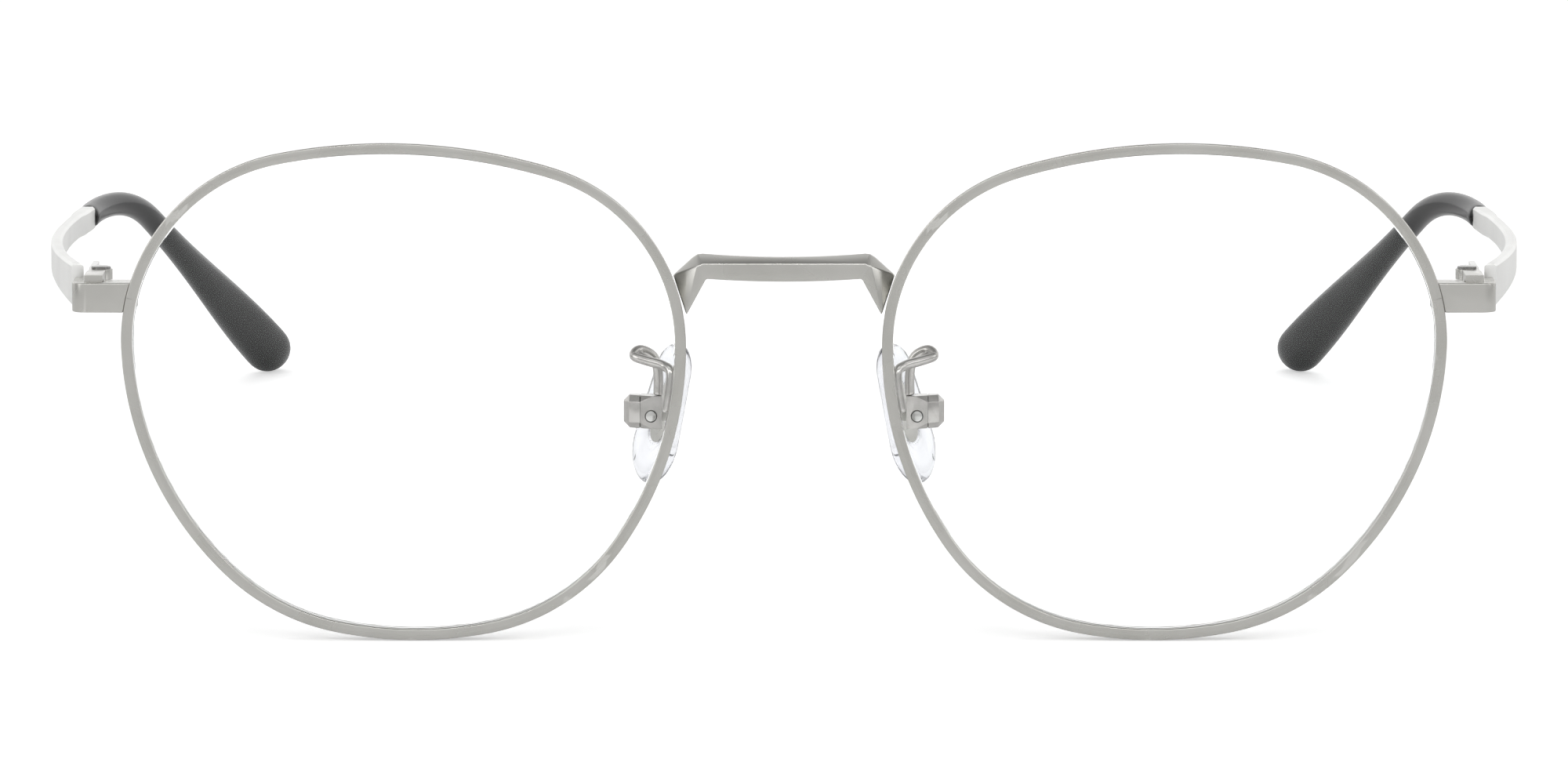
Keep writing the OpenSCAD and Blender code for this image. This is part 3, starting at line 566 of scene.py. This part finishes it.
# ---- Pad arms and boxes ----------------------------------------------------------------
# Each pad arm is a bent wire brazed to the back of the rim; it loops forward and comes down
# into the box, a small block cast round it, with a seam beside the pad's screw.
BOX_CORNER = 0.1 * MM
BOX_WING = 1.6 * MM             # length of the outer end, past the seam
BOX_CHAMFER = 0.6 * MM
BOX_END = 0.8                   # of the wing: edges past this take the chamfer
SEAM = 0.13 * MM                # its width and its depth
SKIN_DEEP, SKIN_TALL = 0.35, 0.42       # points further out than these shares lie on the skin
ON_PLANE = 0.001 * MM

# The same nickel silver, cast and barrel polished: a little smoother than the drawn wire, with
# soft clouds 1.5 mm wide.  Its colour is a shade darker than the wire's: painted shade on the
# arms and boxes.
cast_plate_painted_shade, tree, shader = start_material("cast_nickel_silver", Metallic=1.0, Roughness=0.22)
where = add(tree, "ShaderNodeTexCoord").outputs["Object"]
cloud = noise(tree, where, 1.5 * MM, 2.0)
# a darker copy of the drawn wire's plate colour: painted shade
plate = blend_stops(tree, cloud, (0.3, "#B6B4B1"), (0.7, "#C2C0BD"))
tree.links.new(plate, shader.inputs["Base Color"])
tree.links.new(spread(tree, cloud, 0.17, 0.27), shader.inputs["Roughness"])


def cast_box(node):
    """A pad box with a chamfer round its outer end and a seam where the outer end begins."""
    box = merged_copy(node, node + "_cast")
    flatten(box)
    made = bmesh.new()
    made.from_mesh(box.data)
    seam_x = max(abs(v.co.x) for v in made.verts) - BOX_WING
    end_x = seam_x + BOX_END * BOX_WING
    outer_end = [e for e in made.edges if max(abs(v.co.x) for v in e.verts) > end_x]
    bmesh.ops.bevel(made, geom=outer_end, offset=BOX_CHAMFER, segments=1, affect="EDGES",
                    clamp_overlap=False)
    made.to_mesh(box.data)
    made.free()
    ease_edges(box, BOX_CORNER)
    box = plain_mesh(box, node + "_cast")

    # the seam: three cuts across the box, and the middle ring of points pressed in
    made = bmesh.new()
    made.from_mesh(box.data)
    upright = [UPRIGHT @ v.co for v in made.verts]
    low, high = Vector(map(min, *upright)), Vector(map(max, *upright))
    middle = (low + high) / 2
    for shift in (-SEAM / 2, 0, SEAM / 2):
        cut_x = math.copysign(seam_x + shift, middle.x)
        bmesh.ops.bisect_plane(made, geom=made.verts[:] + made.edges[:] + made.faces[:],
                               plane_co=(cut_x, 0, 0), plane_no=(1, 0, 0))
    for vert in made.verts:
        at = UPRIGHT @ vert.co
        out_y, out_z = at.y - middle.y, at.z - middle.z
        on_skin = (abs(out_y) > SKIN_DEEP * (high.y - low.y)
                   or abs(out_z) > SKIN_TALL * (high.z - low.z))
        if on_skin and abs(abs(at.x) - seam_x) < ON_PLANE:
            inward = Vector((0, -out_y, -out_z)).normalized() * SEAM
            vert.co = AT_REST @ (at + inward)
    made.to_mesh(box.data)
    made.free()
    return box


for side in ("right", "left"):
    arm = softened(side + "_pad_arm", side + "_arm", levels=2)
    shade(arm, cast_plate_painted_shade, sharp_degrees=50)
    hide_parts(side + "_pad_arm")
    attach(arm, "front")
    box = cast_box(side + "_pad_box")
    shade(box, cast_plate_painted_shade, sharp_degrees=12)
    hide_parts(side + "_pad_box")
    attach(box, "front")


# ---- Nose pads -------------------------------------------------------------------------
# The pads are clear silicone rubber, moulded round a small steel leaf whose lug swings on the
# screw.  They are glass clear at a glance, a little milky in depth, and smooth.
CORE_CORNER = 0.06 * MM
silicone, tree, shader = start_material("clear_silicone_rubber", IOR=1.41, Roughness=0.08,
                                        Transmission_Weight=0.96)
where = add(tree, "ShaderNodeTexCoord").outputs["Object"]
haze = noise(tree, where, 2.5 * MM, 2.0)
milky = blend_stops(tree, haze, (0.3, "#E2E3E7"), (0.7, "#ECEDF0"))
tree.links.new(milky, shader.inputs["Base Color"])
tree.links.new(spread(tree, haze, 0.04, 0.14), shader.inputs["Roughness"])
for side in ("right", "left"):
    machined(side + "_pad_core", side + "_pad", satin_plate, CORE_CORNER)
    pad = softened(side + "_nose_pad", side + "_pad_rubber", levels=1)
    shade(pad, silicone, sharp_degrees=45)
    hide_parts(side + "_nose_pad")
    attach(pad, side + "_pad")


# ---- Lenses ----------------------------------------------------------------------------
# Clear cast resin with a coat against reflections: almost nothing shows but a thin line at
# the bevel and a faint green in the shine.  The index is the one whose shine matches the coat,
# about half a per cent, rather than the resin's own 1.5.
resin, tree, shader = start_material("coated_clear_resin", IOR=1.15, Roughness=0.0,
                                     Transmission_Weight=1.0, Specular_Tint=linear("#D6EFE0"))
where = add(tree, "ShaderNodeTexCoord").outputs["Object"]
film = noise(tree, where, 14 * MM, 1.0)
clear = blend_stops(tree, film, (0.3, "#FDFEFE"), (0.7, "#FFFFFF"))
tree.links.new(clear, shader.inputs["Base Color"])
for side in ("right", "left"):
    lens = merged_copy(side + "_lens", side + "_clear_lens")
    shade(lens, resin, sharp_degrees=25)
    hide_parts(side + "_lens")
    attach(lens, "front")


# ---- Studio ----------------------------------------------------------------------------
# A pale floor, a white room and four soft lamps.  The floor glows a little, so that it is
# white to the camera and through a lens, and still takes the shadow.  In reflections, and
# through the lenses and pads, the room is brightest low at the back and dims overhead, beside
# and round the camera, so that flat metal looks grey and black plastic stays black.
FLOOR_SIZE = 1.6
FLOOR_MIDDLE = 0.5              # more of the floor lies behind the frame than before it
FLOOR_GAP = 0.02 * MM           # under the lowest point
FLOOR_LIFT = 0.42               # glow of the floor where it is seen, on top of its own light
FLOOR_SHINE = 0.1               # the same in reflections
bpy.ops.mesh.primitive_plane_add(size=FLOOR_SIZE, location=(0, FLOOR_MIDDLE, -FLOOR_GAP))
floor = bpy.context.object
floor.name = "floor"
pale = bpy.data.materials.new("pale_floor")
pale.use_nodes = True
tree = pale.node_tree
tree.nodes.clear()
rays = add(tree, "ShaderNodeLightPath")
seen = add(tree, "ShaderNodeMath", {"operation": "MAXIMUM"}, _0=rays.outputs["Is Camera Ray"],
           _1=rays.outputs["Is Transmission Ray"])
mirrored = add(tree, "ShaderNodeMath", {"operation": "MULTIPLY"},
               _0=rays.outputs["Is Glossy Ray"], _1=FLOOR_SHINE)
lift = add(tree, "ShaderNodeMath", {"operation": "MULTIPLY_ADD"}, _0=seen.outputs[0],
           _1=FLOOR_LIFT, _2=mirrored.outputs[0])
matt = add(tree, "ShaderNodeBsdfDiffuse", Color=linear("#E8E8E8"))
glow = add(tree, "ShaderNodeEmission", Color=(1, 1, 1, 1), Strength=lift.outputs[0])
both = add(tree, "ShaderNodeAddShader", _0=matt.outputs[0], _1=glow.outputs[0])
add(tree, "ShaderNodeOutputMaterial", Surface=both.outputs[0])
floor.data.materials.append(pale)

# Brightness of the room: for the camera, on matt surfaces, and in reflections by direction.
SEEN, FILL = 1.0, 0.5
LOW_BACK, OVERHEAD, BESIDE, CAMERA_SIDE = 1.25, 0.3, 0.5, 0.8
world = bpy.data.worlds.new("white_room")
bpy.context.scene.world = world
world.use_nodes = True
tree = world.node_tree
tree.nodes.clear()
rays = add(tree, "ShaderNodeLightPath")
direction = add(tree, "ShaderNodeTexCoord").outputs["Generated"]
way = add(tree, "ShaderNodeSeparateXYZ", Vector=direction)
height = add(tree, "ShaderNodeMath", {"operation": "ABSOLUTE"}, _0=way.outputs["Z"])
plain = add(tree, "ShaderNodeMapRange", Value=rays.outputs["Is Camera Ray"], To_Min=FILL,
            To_Max=SEEN)
at_front = add(tree, "ShaderNodeMapRange", Value=way.outputs["Y"], From_Min=-0.4, From_Max=-0.85)
at_level = add(tree, "ShaderNodeMapRange", Value=height.outputs[0], From_Min=0.5, From_Max=0.15)
camera_side = add(tree, "ShaderNodeMath", {"operation": "MULTIPLY"}, _0=at_front.outputs[0],
                  _1=at_level.outputs[0])
upward = add(tree, "ShaderNodeMapRange", Value=way.outputs["Z"], From_Min=0.3, From_Max=1.0,
             To_Min=LOW_BACK, To_Max=OVERHEAD)
past_back = add(tree, "ShaderNodeMapRange", Value=way.outputs["Y"], From_Min=0.55, From_Max=0.1)
beside = add(tree, "ShaderNodeMath", {"operation": "MULTIPLY"}, _0=past_back.outputs[0],
             _1=at_level.outputs[0])
around = add(tree, "ShaderNodeMix", {"data_type": "FLOAT"}, Factor=beside.outputs[0],
             _2=upward.outputs[0], _3=BESIDE)
shine = add(tree, "ShaderNodeMix", {"data_type": "FLOAT"}, Factor=camera_side.outputs[0],
            _2=around.outputs[0], _3=CAMERA_SIDE)
level = add(tree, "ShaderNodeMix", {"data_type": "FLOAT"}, Factor=rays.outputs["Is Glossy Ray"],
            _2=plain.outputs[0], _3=shine.outputs[0])
room = add(tree, "ShaderNodeBackground", Color=(1, 1, 1, 1), Strength=level.outputs[0])
add(tree, "ShaderNodeOutputWorld", Surface=room.outputs[0])


def soft_lamp(name, at, towards, size, watts, mirrored=True):
    """A rectangular lamp; one that isn't mirrored lights matt surfaces only."""
    data = bpy.data.lights.new(name, "AREA")
    data.shape = "RECTANGLE"
    data.size, data.size_y = size
    data.energy = watts
    lamp = bpy.data.objects.new(name, data)
    bpy.context.scene.collection.objects.link(lamp)
    lamp.location = at
    lamp.visible_glossy = mirrored
    lamp.rotation_euler = (Vector(towards) - Vector(at)).to_track_quat("-Z", "Y").to_euler()


WINDOW = (0.3, 0.7)
ON_THE_FRONT = (0, -0.03, 0.02)
soft_lamp("overhead", (0, -0.1, 0.9), (0, 0, 0), (0.9, 0.9), watts=2.6, mirrored=False)
soft_lamp("strip", (0, -0.61, 0.51), ON_THE_FRONT, (1.2, 0.07), watts=1.3)
soft_lamp("window_left", (-0.9, -0.5, 0.5), ON_THE_FRONT, WINDOW, watts=1.2)
soft_lamp("window_right", (0.9, -0.3, 0.5), ON_THE_FRONT, WINDOW, watts=0.9)

# Camera: a long lens a metre away, a little above the front and level from side to side.
STAND_BACK = 1.0
LOOK_DOWN = LEAN + math.radians(6.75)
IN_THE_RIM = 2.0 * MM           # the target lies this far behind the rim's foremost point
rim_low, rim_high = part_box("right_rim")
target = Vector((0, rim_low[1] + IN_THE_RIM, (rim_low[2] + rim_high[2]) / 2))
camera_data = bpy.data.cameras.new("camera")
camera_data.sensor_width = 36   # this and the lens in the camera's own millimetres
camera_data.lens = 239.2
camera_data.clip_start = 10 * MM
camera = bpy.data.objects.new("camera", camera_data)
bpy.context.scene.collection.objects.link(camera)
camera.location = target + STAND_BACK * Vector((0, -math.cos(LOOK_DOWN), math.sin(LOOK_DOWN)))
camera.rotation_euler = (target - camera.location).to_track_quat("-Z", "Y").to_euler()
bpy.context.scene.camera = camera
bpy.context.scene.view_settings.view_transform = "Standard"
